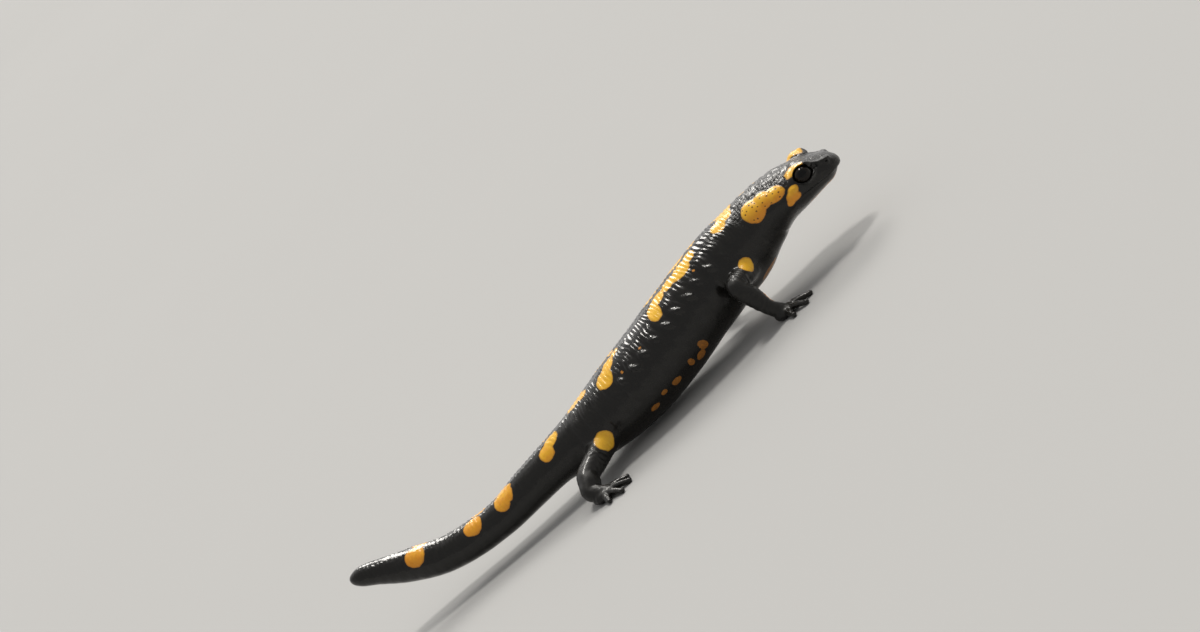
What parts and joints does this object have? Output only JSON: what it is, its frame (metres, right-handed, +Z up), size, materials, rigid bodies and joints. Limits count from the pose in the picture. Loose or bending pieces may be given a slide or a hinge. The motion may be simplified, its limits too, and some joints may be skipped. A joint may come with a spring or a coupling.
{
  "type": "fire salamander",
  "caption": "Still, life-size model of a black salamander with yellow and orange spots, walking with its tail lifted; stands level on its four feet.",
  "frame": {"origin": "on the floor, under the middle of the whole model's box", "axes": "+X the way the animal faces, +Z up, so +Y is its left side"},
  "size_m": [0.168, 0.0598, 0.0266],
  "materials": {
    "skin": "moist, glossy near-black skin with yellow to orange patches",
    "eye": "wet, glossy, very dark brown"
  },
  "bodies": {
    "root": {"head": "skin", "lower_jaw": "skin", "neck": "skin", "trunk": "skin", "tail_base": "skin", "tail_middle": "skin", "tail_tip": "skin", "eye_right": "eye", "eye_left": "eye", "upper_arm_right": "skin", "forearm_right": "skin", "hand_right": "skin", "thigh_right": "skin", "shin_right": "skin", "foot_right": "skin", "upper_arm_left": "skin", "forearm_left": "skin", "hand_left": "skin", "thigh_left": "skin", "shin_left": "skin", "foot_left": "skin"}
  },
  "joints": []
}
